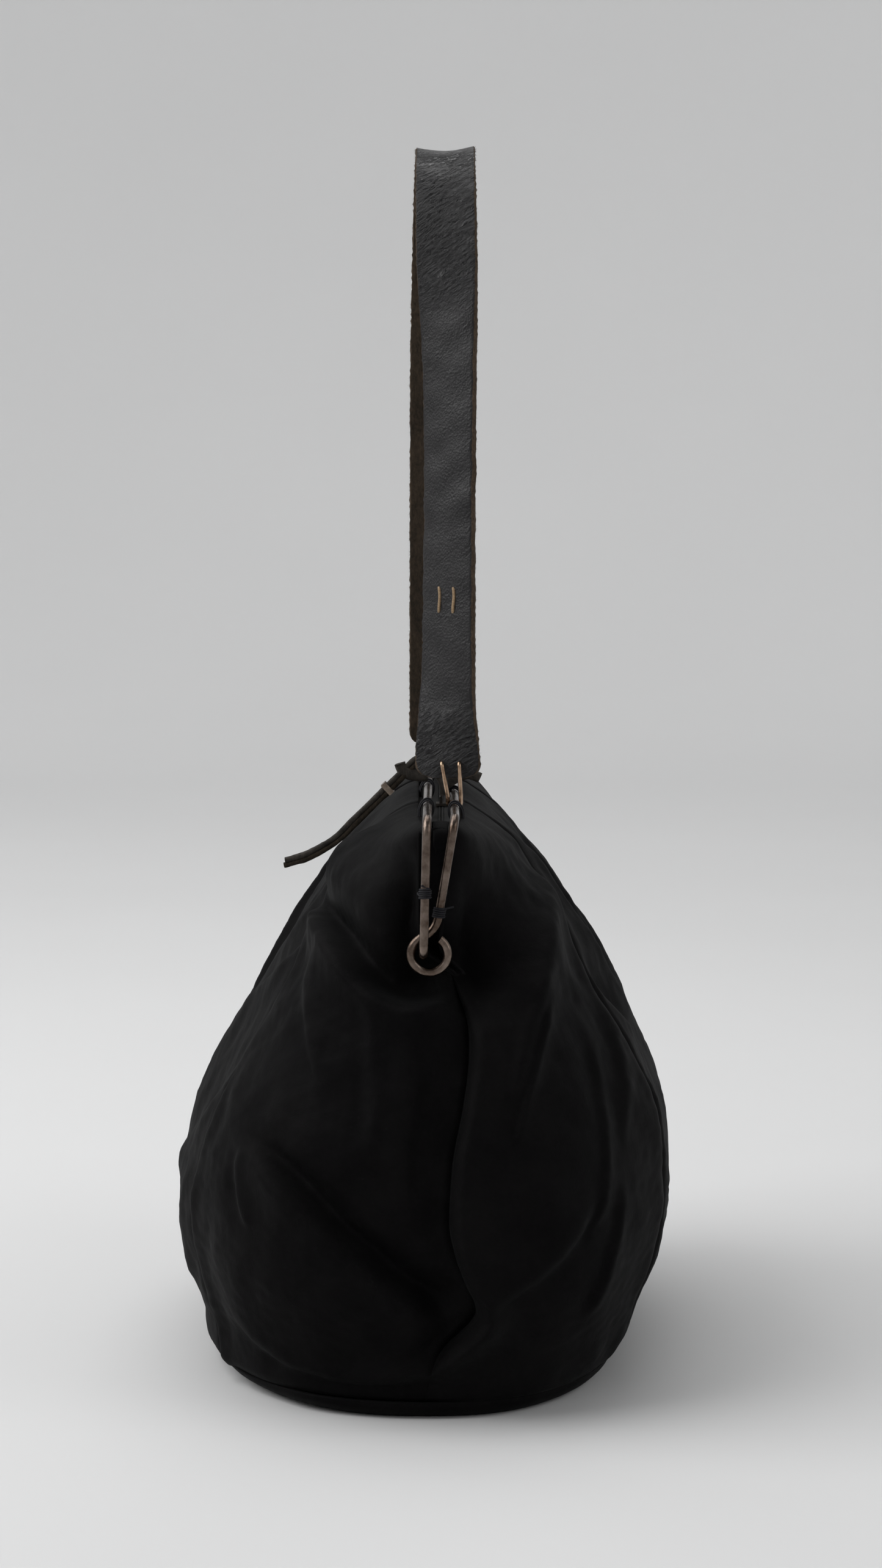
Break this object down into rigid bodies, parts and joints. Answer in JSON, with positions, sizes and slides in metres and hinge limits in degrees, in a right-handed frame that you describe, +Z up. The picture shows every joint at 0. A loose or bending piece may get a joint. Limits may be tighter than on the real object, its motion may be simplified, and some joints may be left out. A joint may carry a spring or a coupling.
{
  "type": "leather shoulder bag",
  "caption": "Black leather shoulder bag on a flat base, with a hinged bent-rod frame, a zipped mouth and a single broad leather strap.",
  "frame": {"origin": "centre of the bounding box at the bottom of the base, on the surface that the bag stands on", "axes": "+Z up, +Y along the mouth away from the near end, +X across the bag"},
  "size_m": [0.296, 0.4506, 0.7028],
  "materials": {
    "body_leather": "matte nubuck",
    "strap_leather": "semi-gloss waxed grain",
    "puller_leather": "rough",
    "frame_steel": "hammered, dull",
    "staple_bronze": "burnished",
    "band_metal": "burnished",
    "cord": "waxed cord",
    "tape": "woven tape",
    "coil": "matte",
    "zip_metal": "satin",
    "stitch": "waxed thread"
  },
  "bodies": {
    "lower_body": {"base_panel": "body_leather", "left_side_panel": "body_leather", "right_side_panel": "body_leather", "near_end_gusset": "body_leather", "far_end_gusset": "body_leather"},
    "left_frame": {"frame_bar_left": "frame_steel", "lashings_left": "cord", "left_upper_panel": "body_leather", "left_near_wing": "body_leather", "left_far_wing": "body_leather", "left_mouth_facing": "body_leather", "zip_tape_left": "tape", "zip_coil_left": "coil", "zip_stops_left": "zip_metal"},
    "right_frame": {"frame_bar_right": "frame_steel", "lashings_right": "cord", "right_upper_panel": "body_leather", "right_near_wing": "body_leather", "right_far_wing": "body_leather", "right_mouth_facing": "body_leather", "zip_tape_right": "tape", "zip_coil_right": "coil", "zip_stops_right": "zip_metal"},
    "strap": {"shoulder_strap": "strap_leather", "strap_staple_near": "staple_bronze", "strap_staple_far": "staple_bronze", "strap_stitches": "stitch"},
    "slider": {"zip_slider": "zip_metal"},
    "puller": {"puller_strip": "puller_leather", "puller_clip": "band_metal"}
  },
  "joints": [
    {"name": "left_frame_opens", "type": "hinge", "parent": "lower_body", "child": "left_frame", "pos_m": [-0.002, 0, 0.256], "axis": [0, -1, 0], "range_deg": [0, 35]},
    {"name": "right_frame_opens", "type": "hinge", "parent": "lower_body", "child": "right_frame", "pos_m": [-0.002, 0, 0.256], "axis": [0, 1, 0], "range_deg": [0, 35]},
    {"name": "strap_swings", "type": "hinge", "parent": "right_frame", "child": "strap", "pos_m": [0.015, 0, 0.33], "axis": [0, 1, 0], "range_deg": [-35, 70]},
    {"name": "slider_runs", "type": "slide", "parent": "left_frame", "child": "slider", "axis": [0, 1, 0], "range_m": [-0.085, 0.235], "deforming": ["puller_strip"]},
    {"name": "puller_lifts", "type": "hinge", "parent": "slider", "child": "puller", "pos_m": [0.0075, 0, 0.329], "axis": [0, 1, 0], "range_deg": [0, 90]}
  ]
}
